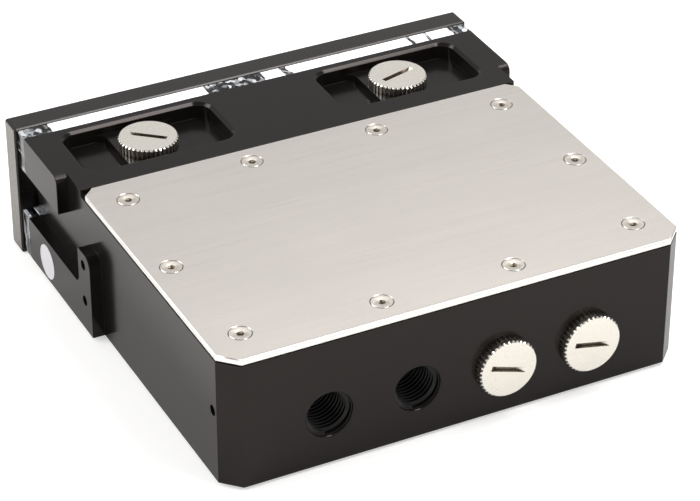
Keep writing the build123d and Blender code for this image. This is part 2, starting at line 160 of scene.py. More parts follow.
class RESERVOIR_PG_colours(bpy.types.PropertyGroup):
    """Colours of the finishes, and of the light and shade painted on them."""

    acetal: colour_property("Acetal", "Milled black acetal", "12100F")
    anodised: colour_property("Anodised", "Black anodised aluminium", "11100F")
    # Painted light: the paler colour of the bezel's sawn ends
    sawn_end: colour_property("Sawn end", "Sawn and anodised ends of the bezel", "65605A")
    acrylic: colour_property("Acrylic", "Clear acrylic", "F4F8FC")
    # Painted shade: the darkest grey painted on the shards of light in the clear block
    shard: colour_property("Shard", "Darkest of the shards in the clear block", "35343A")
    steel: colour_property("Steel", "Brushed stainless steel sheet", "E4DED7")
    # Painted highlight on the plate's bare cut edges
    cut_edge: colour_property("Cut edge", "Bare cut edges of the sheet", "FFFDFA")
    # Painted shade in the narrow gaps round the plate's screws
    screw_gap: colour_property("Screw gap", "Narrow gaps round the plate's screws", "1A1816")
    nickel: colour_property("Nickel", "Nickel plate", "FFFAF0")
    # Painted shade deep in the coin slots and the knurl's grooves
    deep_slot: colour_property("Deep slot", "Nickel deep in a coin slot", "5E4C38")
    screw_steel: colour_property("Screw steel", "Cold-headed stainless steel", "E8E1D7")
    # Painted shade deep in the screws' hexagon sockets
    deep_socket: colour_property("Deep socket", "Screw steel deep in a socket", "4A4238")
    oxide: colour_property("Black oxide", "Blackened screw steel", "2A2928")
    rubber: colour_property("Rubber", "Nitrile rubber", "161616")
    paper: colour_property("Paper", "Blank label paper", "D4D1D5")
    floor: colour_property("Floor", "Paper sweep under the object", "D9D8D6")


# Small helpers


def deselect_everything():
    """Leaves nothing selected, so that an operator reaches only what is added next."""
    for obj in bpy.context.selected_objects:
        obj.select_set(False)
    bpy.context.view_layer.objects.active = None


def make_active(obj):
    """Selects one object alone and makes it the active one."""
    deselect_everything()
    obj.select_set(True)
    bpy.context.view_layer.objects.active = obj
    return obj


def added(name):
    """The object that a primitive operator has just added, under its own name."""
    obj = bpy.context.active_object
    obj.name = name
    obj.data.name = name
    return obj


def select_where(obj, kind, test):
    """In edit mode, selects only the vertices, edges or faces whose middle passes a test."""
    bpy.ops.mesh.select_all(action="DESELECT")
    bpy.ops.mesh.select_mode(type={"verts": "VERT", "edges": "EDGE", "faces": "FACE"}[kind])
    shape = bmesh.from_edit_mesh(obj.data)
    for element in getattr(shape, kind):
        corners = [element] if kind == "verts" else element.verts
        middle = sum((v.co for v in corners), Vector()) / len(corners)
        element.select_set(test(element, middle))
    shape.select_flush_mode()
    bmesh.update_edit_mesh(obj.data)


def apply_modifier(obj, kind, **settings):
    """Adds a modifier with its settings and applies it."""
    make_active(obj)
    modifier = obj.modifiers.new(kind.title(), kind)
    for name, value in settings.items():
        setattr(modifier, name, value)
    bpy.ops.object.modifier_apply(modifier=modifier.name)


def cut(obj, cutter):
    """Takes one object's shape out of another, and removes the cutter."""
    apply_modifier(obj, "BOOLEAN", operation="DIFFERENCE", solver="EXACT", object=cutter)
    bpy.data.objects.remove(cutter)


def join(target, others):
    """Joins other objects into the first."""
    make_active(target)
    for other in others:
        other.select_set(True)
    bpy.ops.object.join()
    return target


def clean(obj, smooth_degrees):
    """Merges doubles, turns the faces outwards and shades the shallow edges smooth."""
    make_active(obj)
    bpy.ops.object.mode_set(mode="EDIT")
    bpy.ops.mesh.select_all(action="SELECT")
    bpy.ops.mesh.remove_doubles(threshold=MERGED)
    bpy.ops.mesh.normals_make_consistent(inside=False)
    bpy.ops.object.mode_set(mode="OBJECT")
    bpy.ops.object.shade_smooth_by_angle(angle=math.radians(smooth_degrees))


def own_copy(source, name):
    """A copy of an object with its own mesh and name."""
    obj = source.copy()
    obj.data = source.data.copy()
    obj.name = name
    obj.data.name = name
    bpy.context.scene.collection.objects.link(obj)
    return obj


def placed_copy(pattern, name, matrix):
    """A copy of a finished pattern, its place in its vertices."""
    obj = own_copy(pattern, name)
    obj.data.transform(matrix)
    return obj


def finish_piece(obj, draw, body, slot, *nodes):
    """Gives a piece its drawn material and its body, and lets it stand for its CAD nodes. The slot is not used."""
    obj.data.materials.clear()
    obj.data.materials.append(material_of(draw))
    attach(obj, body)
    if nodes:
        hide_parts(*nodes)


def dress_node(name, draw):
    """Keeps a CAD node and gives it its drawn material."""
    node = frame["nodes"][name]
    node.data.materials.clear()
    node.data.materials.append(material_of(draw))


def body_of_node(node):
    """The name of the body that a CAD node belongs to."""
    return next(body for body, nodes in record["behaviour"]["bodies"].items() if node in nodes)


def seat_of_plug(name):
    """Where a plug's head sits, as a matrix whose z axis points out of its port."""
    joint = next(j for j in frame["joints"] if j["name"] == name + "_turn")
    return seat_matrix(joint["pos_m"], joint["axis"])


def port_seats():
    """The place of each port on its face, under the name of its thread."""
    seats = {"thread_of_" + name: seat_of_plug(name) for name in SLOT_ANGLES}
    rear_face = seats["thread_of_port_plug_inner"].translation.y
    for mount in record["mounts"]:
        if mount["name"].startswith("port_"):
            x, _, z = mount["pos_m"]
            seats["thread_of_open_" + mount["name"]] = seat_matrix((x, rear_face, z), (0, 1, 0))
    return seats


def seat_matrix(place, axis):
    """A place on the body as a matrix whose z axis points out of it."""
    out = Vector(axis)
    across = Vector((-1, 0, 0)) if abs(out.y) > 0.5 else Vector((1, 0, 0))
    along = out.cross(across)
    turn = Matrix((across, along, out)).transposed().to_4x4()
    return Matrix.Translation(Vector(place)) @ turn


def solid_boxes(node):
    """The box of each separate solid in a CAD node."""
    shape = bmesh.new()
    shape.from_mesh(frame["nodes"][node].data)
    bmesh.ops.remove_doubles(shape, verts=shape.verts, dist=MERGED)
    waiting = set(shape.verts)
    boxes = []
    while waiting:
        front = [waiting.pop()]
        low, high = front[0].co.copy(), front[0].co.copy()
        while front:
            vertex = front.pop()
            low = Vector(map(min, low, vertex.co))
            high = Vector(map(max, high, vertex.co))
            for edge in vertex.link_edges:
                other = edge.other_vert(vertex)
                if other in waiting:
                    waiting.remove(other)
                    front.append(other)
        boxes.append((low, high))
    shape.free()
    return sorted(boxes, key=lambda box: tuple(round(c, 5) for c in box[0]))


# Materials


def add_node(tree, kind, inputs, **settings):
    """Adds one node with its settings, and a value or a link for each input. Hands back its outputs."""
    node = tree.nodes.new("ShaderNode" + kind)
    for name, value in settings.items():
        setattr(node, name, value)
    for socket, value in inputs.items():
        if isinstance(value, bpy.types.NodeSocket):
            tree.links.new(value, node.inputs[socket])
        else:
            node.inputs[socket].default_value = value
    return node.outputs


def node_adder(owner):
    """Empties the node tree of a material or the world, and hands back add_node for it."""
    owner.use_nodes = True
    owner.node_tree.nodes.clear()
    return partial(add_node, owner.node_tree)


def material_of(draw):
    """The material that a function draws, under the function's own name; it is drawn only once."""
    material = bpy.data.materials.get(draw.__name__)
    if material is None:
        material = bpy.data.materials.new(draw.__name__)
        add = node_adder(material)
        # The object's own coordinates in millimetres, so that a noise's scale is in features per millimetre
        place = add("TexCoord", {})["Object"]
        place = add("Mapping", {"Vector": place, "Scale": (1 / MM, 1 / MM, 1 / MM)})["Vector"]
        shader = draw(add, place, bpy.context.scene.reservoir_colours)
        add("OutputMaterial", {"Surface": shader[0]})
    return material


def tinted(add, factor, colour, dark, light):
    """A colour that a pattern moves between a darker and a lighter shade of it."""
    shades = {"A": [c * dark for c in colour] + [1.0], "B": [min(1.0, c * light) for c in colour] + [1.0]}
    return add("Mix", {"Factor": factor, **shades}, data_type="RGBA")["Result"]


def crevices(add, colour, shade, reach, darkest=0.35, clear=0.8):
    """A colour with painted shade: it darkens where little sky is open to a finish, within a distance in
    millimetres.
    """
    open_sky = add("AmbientOcclusion", {"Distance": reach * MM})["AO"]
    factor = add("MapRange", {"Value": open_sky, "From Min": darkest, "From Max": clear})["Result"]
    shades = {"Factor": factor, "A": [*shade, 1.0], "B": colour}
    return add("Mix", shades, data_type="RGBA")["Result"]


def grained(add, grain, roughness, depth, strength, under=None):
    """What a fine grain gives a surface: a range of roughness, and a relief with a depth in millimetres."""
    low, high = roughness
    rough = add("MapRange", {"Value": grain, "To Min": low, "To Max": high})["Result"]
    relief = {"Height": grain, "Distance": depth * MM, "Strength": strength}
    if under is not None:
        relief["Normal"] = under
    return {"Roughness": rough, "Normal": add("Bump", relief)["Normal"]}


def milled_black_acetal(add, place, colours):
    """Acetal, face milled: satin with the cutter's faint arcs, near black head on and glossy from low."""
    # The cutter's feed leaves arcs about 1 mm apart
    flattened = add("Mapping", {"Vector": place, "Scale": (1.0, 1.0, 0.35)})["Vector"]
    arcs = add(
        "TexWave",
        {"Vector": flattened, "Scale": 0.32, "Distortion": 0.6, "Detail": 2.0, "Detail Scale": 0.4},
        wave_type="RINGS",
        rings_direction="SPHERICAL",
    )["Fac"]
    cutter_marks = add("Bump", {"Height": arcs, "Distance": 0.004 * MM, "Strength": 0.3})["Normal"]
    grain = add("TexNoise", {"Vector": place, "Scale": 4.0, "Detail": 3.0})["Fac"]
    patches = add("TexNoise", {"Vector": place, "Scale": 0.03, "Detail": 2.0})["Fac"]
    return add(
        "BsdfPrincipled",
        {
            "Base Color": tinted(add, patches, colours.acetal, 0.75, 1.25),
            "IOR": 1.37,
            "Specular Tint": linear("FFF2EF"),
            **grained(add, grain, (0.13, 0.22), 0.002, 0.4, under=cutter_marks),
        },
    )


def tapped_black_acetal(add, place, colours):
    """Acetal, tapped: rougher than the milled faces, with a darker base colour as painted shade, and its
    reflection painted out where little sky is open, so that it is black where the thread runs into the dark.
    """
    grain = add("TexNoise", {"Vector": place, "Scale": 4.0, "Detail": 3.0})["Fac"]
    open_sky = add("AmbientOcclusion", {"Distance": 9.0 * MM})["AO"]
    # Painted shade: the reflection fades out where little sky is open, deep in the port
    gloss = {"Value": open_sky, "From Min": 0.1, "From Max": 0.6, "To Min": 0.0, "To Max": 0.3}
    return add(
        "BsdfPrincipled",
        {
            "Base Color": tinted(add, grain, colours.acetal, 0.5, 0.8),
            "IOR": 1.48,
            "Roughness": add("MapRange", {"Value": grain, "To Min": 0.2, "To Max": 0.3})["Result"],
            "Specular IOR Level": add("MapRange", gloss)["Result"],
        },
    )


def bead_blasted_black_anodised_aluminium(add, place, colours):
    """Aluminium, bead blasted and anodised black: an even charcoal that glows softly near its edges."""
    # The beads leave dimples about 0.15 mm wide
    blast = add("TexNoise", {"Vector": place, "Scale": 6.0, "Detail": 2.0})["Fac"]
    patches = add("TexNoise", {"Vector": place, "Scale": 0.05, "Detail": 2.0})["Fac"]
    # The ends, which face along x, are given a paler colour than the milled faces: painted light on the sawn ends
    facing = add("TexCoord", {})["Normal"]
    across = add("SeparateXYZ", {"Vector": facing})["X"]
    tilt = add("Math", {0: across}, operation="ABSOLUTE")[0]
    sawn = add("Math", {0: tilt, 1: 0.9}, operation="GREATER_THAN")[0]
    milled = tinted(add, patches, colours.anodised, 0.85, 1.15)
    shades = {"Factor": sawn, "A": milled, "B": [*colours.sawn_end, 1.0]}
    return add(
        "BsdfPrincipled",
        {
            "Base Color": add("Mix", shades, data_type="RGBA")["Result"],
            "IOR": 1.4,
            "Coat Weight": 0.3,
            "Coat Roughness": 0.1,
            "Specular Tint": linear("FFF4ED"),
            **grained(add, blast, (0.2, 0.32), 0.006, 0.5),
        },
    )


def polished_clear_acrylic(add, place, colours):
    """Cast acrylic, sawn and flame polished: bright and glassy, with long ripples from the flame."""
    drawn_out = add("Mapping", {"Vector": place, "Scale": (0.35, 1.0, 1.0)})["Vector"]
    ripples = add("TexNoise", {"Vector": drawn_out, "Scale": 0.5, "Detail": 2.0})["Fac"]
    side = add("SeparateXYZ", {"Vector": place})

    # A painted glow on the top stands in for light that the windows pipe up, in white stretches with slightly wavy
    # ends
    waves = add("TexNoise", {"Vector": place, "Scale": 0.25, "Detail": 1.0})["Fac"]
    wobble = add("MapRange", {"Value": waves, "To Min": -0.8, "To Max": 0.8})["Result"]
    along = add("Math", {0: side["X"], 1: wobble}, operation="ADD")[0]
    lit = 0.0
    for low, high in LIT_STRETCHES:
        reach = {0: along, 1: (low + high) / 2, 2: (high - low) / 2}
        stretch = add("Math", reach, operation="COMPARE")[0]
        lit = add("Math", {0: lit, 1: stretch}, operation="MAXIMUM")[0]
    on_top = add("Math", {0: side["Z"], 1: BLOCK_TOP}, operation="GREATER_THAN")[0]
    painted_glow = add("Math", {0: on_top, 1: lit}, operation="MULTIPLY")[0]

    # Elsewhere on the top, and fainter at the ends, shards of painted light and shade stand in for the light that
    # screws and saw marks break up
    bend = add("TexNoise", {"Vector": place, "Scale": 0.35, "Detail": 1.0})["Color"]
    bent = add("VectorMath", {0: bend, 1: place}, operation="ADD")[0]
    tall = add("Mapping", {"Vector": bent, "Scale": (1.0, 0.8, 0.12)})["Vector"]
    cells = add("TexVoronoi", {"Vector": tall, "Scale": 0.85})["Color"]
    shard = add("SeparateColor", {"Color": cells})
    shards = add("MapRange", {"Value": shard["Red"], "To Min": -0.4, "To Max": 1.1})["Result"]
    outward = add("Math", {0: side["X"]}, operation="ABSOLUTE")[0]
    at_end = add("Math", {0: outward, 1: BLOCK_END}, operation="GREATER_THAN")[0]
    fainter = add("Math", {0: at_end, 1: 0.5}, operation="MULTIPLY")[0]
    outside = add("Math", {0: on_top, 1: fainter}, operation="MAXIMUM")[0]
    broken = add("Math", {0: outside, 1: shards}, operation="MULTIPLY")[0]
    bright = add("Math", {0: painted_glow, 1: broken}, operation="MAXIMUM")[0]

    # The painted shards are grey by different amounts, as painted shade, and the glowing stretches aren't
    there = add("Math", {0: broken, 1: 0.02}, operation="GREATER_THAN")[0]
    amount = add("MapRange", {"Value": shard["Green"], "To Min": 0.2, "To Max": 1.2})["Result"]
    greyed = add("Math", {0: there, 1: amount}, operation="MULTIPLY")[0]
    grey = add("Math", {0: greyed, 1: painted_glow}, operation="SUBTRACT")[0]
    shades = {"Factor": grey, "A": [*colours.acrylic, 1.0], "B": [*colours.shard, 1.0]}
    mattness = {"Value": bright, "To Min": 0.01, "To Max": 0.5}
    clearness = {"Value": bright, "To Min": 1.0, "To Max": 0.0}
    relief = {"Height": ripples, "Distance": 0.03 * MM, "Strength": 0.4}
    return add(
        "BsdfPrincipled",
        {
            "Base Color": add("Mix", shades, data_type="RGBA")["Result"],
            "IOR": 1.49,
            "Roughness": add("MapRange", mattness)["Result"],
            "Transmission Weight": add("MapRange", clearness)["Result"],
            # The emission is a painted glow on the lit stretches
            "Emission Color": linear("FFFFFF"),
            "Emission Strength": add("MapRange", {"Value": painted_glow, "To Max": 0.35})["Result"],
            "Normal": add("Bump", relief)["Normal"],
        },
    )


def belt_brushed_stainless_sheet(add, place, colours):
    """Stainless sheet, belt brushed along x: a pale grey with fine hairlines and a few cloudy marks."""
    # The belt's hairlines are about 0.05 mm apart; they are drawn five times as coarse, so that they show
    fine = add("Mapping", {"Vector": place, "Scale": (0.03, 4.0, 4.0)})["Vector"]
    hairlines = add("TexNoise", {"Vector": fine, "Scale": 1.0, "Detail": 4.0})["Fac"]
    broad = add("Mapping", {"Vector": place, "Scale": (0.012, 0.35, 0.35)})["Vector"]
    streaks = add("TexNoise", {"Vector": broad, "Scale": 1.0, "Detail": 2.0})["Fac"]
    clouds = add("TexNoise", {"Vector": place, "Scale": 0.04, "Detail": 3.0})["Fac"]
    half = add("Math", {0: hairlines, 1: 0.5}, operation="MULTIPLY")[0]
    blend = add("Math", {0: streaks, 1: clouds, 2: half}, operation="MULTIPLY_ADD")[0]
    spread = add("MapRange", {"Value": blend, "From Min": 0.3, "From Max": 0.7})["Result"]
    # The sheet's cut edges are bare, and are given a colour paler than its faces: a painted highlight along them
    facing = add("TexCoord", {})["Normal"]
    upward = add("SeparateXYZ", {"Vector": facing})["Z"]
    tilt = add("Math", {0: upward}, operation="ABSOLUTE")[0]
    edge = add("Math", {0: tilt, 1: 0.3}, operation="LESS_THAN")[0]
    face = tinted(add, spread, colours.steel, 0.97, 1.03)
    shades = {"Factor": edge, "A": face, "B": [*colours.cut_edge, 1.0]}
    both = add("Mix", shades, data_type="RGBA")["Result"]
    return add(
        "BsdfPrincipled",
        {
            # Painted shade darkens the narrow gaps round the screws
            "Base Color": crevices(add, both, colours.screw_gap, 1.2, darkest=0.5, clear=0.95),
            "Metallic": 1.0,
            "Anisotropic": 0.25,
            # Light spreads across the hairlines, which run along x
            "Tangent": add("CombineXYZ", {"Y": 1.0})["Vector"],
            **grained(add, hairlines, (0.25, 0.33), 0.006, 0.3),
        },
    )


def turned_nickel_plated_brass(add, place, colours):
    """Brass, turned, knurled and nickel plated: warm and bright, with a mirror broken by fine tool lines."""
    # The tool's lines are about 0.1 mm apart; they are drawn three times as coarse, so that they show
    lines = add("TexNoise", {"Vector": place, "Scale": 3.0, "Detail": 3.0})["Fac"]
    patches = add("TexNoise", {"Vector": place, "Scale": 0.12, "Detail": 2.0})["Fac"]
    open_colour = tinted(add, patches, colours.nickel, 0.95, 1.0)
    return add(
        "BsdfPrincipled",
        {
            # Painted shade darkens the coin slot and the knurl's grooves, where little sky is open
            "Base Color": crevices(add, open_colour, colours.deep_slot, 2.0),
            "Metallic": 1.0,
            **grained(add, lines, (0.2, 0.32), 0.003, 0.3),
        },
    )


def tumbled_stainless_screw_steel(add, place, colours):
    """Stainless screw steel, cold headed and tumbled: bright with a soft, slightly pitted skin."""
    pits = add("TexNoise", {"Vector": place, "Scale": 5.0, "Detail": 3.0})["Fac"]
    open_colour = tinted(add, pits, colours.screw_steel, 0.94, 1.04)
    return add(
        "BsdfPrincipled",
        {
            # Painted shade darkens the hexagon socket, where little sky is open
            "Base Color": crevices(add, open_colour, colours.deep_socket, 0.9),
            "Metallic": 1.0,
            **grained(add, pits, (0.22, 0.34), 0.003, 0.3),
        },
    )


def black_oxide_screw_steel(add, place, colours):
    """Screw steel with an oiled black oxide: dark, with a dull metallic sheen on its edges."""
    skin = add("TexNoise", {"Vector": place, "Scale": 4.0, "Detail": 3.0})["Fac"]
    colour = tinted(add, skin, colours.oxide, 0.7, 1.3)
    surface = grained(add, skin, (0.3, 0.45), 0.006, 0.4)
    return add("BsdfPrincipled", {"Base Color": colour, "Metallic": 0.6, **surface})


def moulded_nitrile_rubber(add, place, colours):
    """Nitrile rubber, moulded: matt black with a faint bloom."""
    bloom = add("TexNoise", {"Vector": place, "Scale": 1.5, "Detail": 3.0})["Fac"]
    colour = tinted(add, bloom, colours.rubber, 0.8, 1.4)
    surface = grained(add, bloom, (0.45, 0.65), 0.008, 0.5)
    return add("BsdfPrincipled", {"Base Color": colour, "IOR": 1.52, "Specular IOR Level": 0.35, **surface})


def coated_label_paper(add, place, colours):
    """Coated label paper: white and nearly even, with a faint fibre."""
    fibre = add("TexNoise", {"Vector": place, "Scale": 2.5, "Detail": 4.0})["Fac"]
    colour = tinted(add, fibre, colours.paper, 0.95, 1.0)
    surface = grained(add, fibre, (0.4, 0.55), 0.005, 0.4)
    return add("BsdfPrincipled", {"Base Color": colour, "IOR": 1.45, **surface})


def white_paper_sweep(add, place, colours):
    """Matt white paper: it shows white to the camera and in what is clear, and keeps the object's shadow."""
    rays = add("LightPath", {})
    lift = 0.0
    for ray, share in (("Is Camera Ray", 0.5), ("Is Glossy Ray", 0.1), ("Is Transmission Ray", 0.9)):
        lifted = add("Math", {0: rays[ray], 1: share}, operation="MULTIPLY")[0]
        lift = add("Math", {0: lift, 1: lifted}, operation="MAXIMUM")[0]
    paper = add("BsdfDiffuse", {"Color": [*colours.floor, 1.0]})
    glow = add("Emission", {"Strength": lift})
    return add("AddShader", {0: paper[0], 1: glow[0]})


# Shapes


def merged_copy(node, name):
    """A copy of a CAD node with its triangles merged into flat faces."""
    obj = own_copy(frame["nodes"][node], name)
    for key in list(obj.keys()):
        del obj[key]
    obj.parent = None
    make_active(obj)
    bpy.ops.mesh.customdata_custom_splitnormals_clear()
    bpy.ops.object.mode_set(mode="EDIT")
    bpy.ops.mesh.select_all(action="SELECT")
    bpy.ops.mesh.remove_doubles(threshold=2 * MERGED)
    bpy.ops.mesh.dissolve_limited(angle_limit=math.radians(0.4))
    bpy.ops.object.mode_set(mode="OBJECT")
    return obj


def break_edges(obj, width):
    """Breaks a piece's sharp edges, as a deburring tool leaves them."""
    apply_modifier(
        obj,
        "BEVEL",
        width=width,
        segments=2,
        limit_method="ANGLE",
        angle_limit=math.radians(40),
        use_clamp_overlap=False,
        miter_outer="MITER_SHARP",
    )
    make_active(obj)
    bpy.ops.object.shade_smooth_by_angle(angle=math.radians(30))
    # The flat faces keep their flat shading, and only the broken edges roll over
    apply_modifier(obj, "WEIGHTED_NORMAL", mode="FACE_AREA", weight=100, keep_sharp=True)


def shorten_port_mouths(body, seats, depth):
    """Draws the floor of each port's mouth out to its depth, so that the thread starts near the face."""
    make_active(body)
    bpy.ops.object.mode_set(mode="EDIT")
    for seat in seats:
        to_seat = seat.inverted()

        def on_floor(vertex, middle):
            place = to_seat @ middle
            return abs(place.z + SOLID_MOUTH_DEPTH) < SAME and math.hypot(place.x, place.y) < MOUTH_RADIUS

        select_where(body, "verts", on_floor)
        out = seat.to_3x3() @ Vector((0, 0, SOLID_MOUTH_DEPTH - depth))
        bpy.ops.transform.translate(value=out)
    bpy.ops.object.mode_set(mode="OBJECT")


def chamfer_port_rims(body, seats, width):
    """Chamfers the rim of each port, where its mouth meets the face."""
    make_active(body)
    bpy.ops.object.mode_set(mode="EDIT")
    for seat in seats:
        to_seat = seat.inverted()

        def on_rim(edge, middle):
            places = [to_seat @ v.co for v in edge.verts]
            return all(abs(p.z) < SAME and math.hypot(p.x, p.y) < MOUTH_RADIUS for p in places)

        select_where(body, "edges", on_rim)
        bpy.ops.mesh.bevel(offset=width, segments=1, affect="EDGES")
    bpy.ops.object.mode_set(mode="OBJECT")


def relieve_lower_rim(plate, width):
    """Chamfers the plate's lower outer edges, which leaves a dark line between it and the body."""
    make_active(plate)
    low = min(v.co.z for v in plate.data.vertices)
    half = max(v.co.x for v in plate.data.vertices)
    back = max(v.co.y for v in plate.data.vertices)
    front = min(v.co.y for v in plate.data.vertices)

    def on_rim(edge, middle):
        if any(v.co.z > low + SAME for v in edge.verts):
            return False
        return abs(middle.x) > half - RIM_CORNER or middle.y > back - RIM_CORNER or middle.y < front + SAME

    bpy.ops.object.mode_set(mode="EDIT")
    select_where(plate, "edges", on_rim)
    bpy.ops.mesh.bevel(offset=width, segments=1, affect="EDGES")
    bpy.ops.object.mode_set(mode="OBJECT")


def leave_air_film(obj, film):
    """Draws a block's two large faces in by an air film, so that it reflects inside as the real one does."""
    make_active(obj)
    low = min(v.co.y for v in obj.data.vertices)
    high = max(v.co.y for v in obj.data.vertices)
    middle = (0, (low + high) / 2, 0)
    share = 1 - 2 * film / (high - low)
    bpy.ops.object.mode_set(mode="EDIT")
    bpy.ops.mesh.select_all(action="SELECT")
    bpy.ops.transform.resize(value=(1, share, 1), center_override=middle)
    bpy.ops.object.mode_set(mode="OBJECT")


def helical_ridge(name, base_radius, crest_radius, pitch, flank_gap, top, turns, steps_per_turn):
    """One ridge of a Whitworth-shaped thread, wound upwards to a height and closed at its ends."""
    depth = abs(base_radius - crest_radius)
    slope = math.tan(math.radians(FLANK_ANGLE))
    base_width = pitch / 2 + depth * slope - flank_gap / 2
    crest_width = pitch / 2 - depth * slope - flank_gap / 2
    deselect_everything()
    bpy.ops.mesh.primitive_plane_add(size=1, location=(0, 0, 0), rotation=(math.pi / 2, 0, 0))
    ridge = added(name)
    bpy.ops.object.transform_apply(location=True, rotation=True, scale=True)
    bpy.ops.object.mode_set(mode="EDIT")
    bpy.ops.mesh.select_all(action="SELECT")
    bpy.ops.transform.resize(value=(depth, 1, base_width), center_override=(0, 0, 0))
    outward = 1 if crest_radius > base_radius else -1
    select_where(ridge, "verts", lambda vertex, middle: middle.x * outward > 0)
    bpy.ops.transform.resize(value=(1, 1, crest_width / base_width), center_override=(0, 0, 0))
    bpy.ops.mesh.select_all(action="SELECT")
    bpy.ops.transform.translate(value=((base_radius + crest_radius) / 2, 0, top - pitch * turns))
    bpy.ops.mesh.delete(type="ONLY_FACE")
    bpy.ops.object.mode_set(mode="OBJECT")
    apply_modifier(
        ridge,
        "SCREW",
        axis="Z",
        angle=2 * math.pi * turns,
        screw_offset=pitch * turns,
        iterations=1,
        steps=round(steps_per_turn * turns),
        render_steps=round(steps_per_turn * turns),
        use_smooth_shade=False,
    )
    bpy.ops.object.mode_set(mode="EDIT")
    bpy.ops.mesh.select_mode(type="VERT")
    bpy.ops.mesh.select_all(action="DESELECT")
    bpy.ops.mesh.select_non_manifold()
    bpy.ops.mesh.fill_holes(sides=8)
    bpy.ops.object.mode_set(mode="OBJECT")
    return ridge


def build_plug(sizes, name, slot_angle):
    """A knurled plug with its seat at the origin: the toothed head, its slot and groove, and the shank."""
    corners = 4 * sizes.teeth
    deselect_everything()
    bpy.ops.mesh.primitive_circle_add(
        vertices=corners, radius=sizes.head_radius, fill_type="NGON", location=(0, 0, 0)
    )
    head = added(name)
    bpy.ops.object.mode_set(mode="EDIT")
    tooth_angle = 2 * math.pi / sizes.teeth

    # A tooth has four corners, and the last two of them lie in the groove beside it
    def in_groove(vertex, middle):
        share = (math.atan2(middle.y, middle.x) / tooth_angle + 0.125) % 1.0
        return share > 0.5

    select_where(head, "verts", in_groove)
    root_share = 1 - sizes.tooth_depth / sizes.head_radius
    bpy.ops.transform.resize(value=(root_share, root_share, 1), center_override=(0, 0, 0))
    bpy.ops.mesh.select_all(action="SELECT")
    rise = sizes.head_height - sizes.head_chamfer
    bpy.ops.mesh.extrude_region_move(TRANSFORM_OT_translate={"value": (0, 0, rise)})
    bpy.ops.mesh.extrude_region_move(TRANSFORM_OT_translate={"value": (0, 0, sizes.head_chamfer)})
    select_where(head, "verts", lambda vertex, middle: middle.z > rise + SAME and in_groove(vertex, middle))
    bpy.ops.transform.resize(value=(1 / root_share, 1 / root_share, 1), center_override=(0, 0, 0))
    select_where(head, "verts", lambda vertex, middle: middle.z > rise + SAME)
    face_share = 1 - sizes.head_chamfer / sizes.head_radius
    bpy.ops.transform.resize(value=(face_share, face_share, 1), center_override=(0, 0, 0))
    bpy.ops.mesh.select_all(action="SELECT")
    bpy.ops.mesh.normals_make_consistent(inside=False)
    bpy.ops.object.mode_set(mode="OBJECT")

    # Coin slot, sawn across the face, so that its floor follows the saw's rim
    deselect_everything()
    saw_radius = (sizes.slot_length**2 / 4 + sizes.slot_depth**2) / (2 * sizes.slot_depth)
    bpy.ops.mesh.primitive_cylinder_add(
        vertices=240,
        radius=saw_radius,
        depth=sizes.slot_width,
        location=(0, 0, sizes.head_height + saw_radius - sizes.slot_depth),
        rotation=(math.pi / 2, 0, math.radians(slot_angle)),
    )
    cut(head, added("slot_saw"))

    # Groove under the head for its sealing ring
    deselect_everything()
    bpy.ops.mesh.primitive_cylinder_add(
        vertices=96, radius=sizes.seal_groove_radius, depth=2 * sizes.seal_groove_height, location=(0, 0, 0)
    )
    cut(head, added("groove_cutter"))

    # Core of the shank, with a lead-in at its tip
    deselect_everything()
    top = sizes.seal_groove_height + LEAD_IN
    bpy.ops.mesh.primitive_cylinder_add(
        vertices=96,
        radius=sizes.thread_root,
        depth=sizes.shank_length + top,
        location=(0, 0, (top - sizes.shank_length) / 2),
    )
    core = added("shank_core")
    bpy.ops.object.transform_apply(location=True, rotation=True, scale=True)
    bpy.ops.object.mode_set(mode="EDIT")
    select_where(core, "edges", lambda edge, middle: middle.z < SAME - sizes.shank_length)
    bpy.ops.mesh.bevel(offset=LEAD_IN, segments=2, affect="EDGES")
    bpy.ops.object.mode_set(mode="OBJECT")

    # Thread, half a pitch from the ridges of the port's
    thread_top = port_thread_top(sizes) + sizes.pitch / 2
    plain_tip = 0.65 * MM
    rooted = 0.05 * MM
    ridge = helical_ridge(
        "shank_thread",
        base_radius=sizes.thread_root - rooted,
        crest_radius=sizes.thread_crest,
        pitch=sizes.pitch,
        flank_gap=sizes.flank_gap,
        top=thread_top,
        turns=(sizes.shank_length + thread_top - plain_tip) / sizes.pitch,
        steps_per_turn=48,
    )
    plug = join(head, [core, ridge])
    clean(plug, smooth_degrees=15)
    return plug


def port_thread_top(sizes):
    """Height of the uppermost ridge of a port's thread, from the port's face."""
    below_mouth = 0.6 * MM
    return -(sizes.port_mouth + below_mouth)


def build_port_thread(sizes, name, depth):
    """The ridges of a port's thread, from under its mouth down to a depth."""
    top = port_thread_top(sizes)
    plain_end = 0.5 * MM
    rooted = 0.04 * MM
    ridge = helical_ridge(
        name,
        base_radius=sizes.port_radius + rooted,
        crest_radius=sizes.port_crest,
        pitch=sizes.pitch,
        flank_gap=sizes.flank_gap,
        top=top,
        turns=(depth + top - plain_end) / sizes.pitch,
        steps_per_turn=48,
    )
    clean(ridge, smooth_degrees=25)
    return ridge


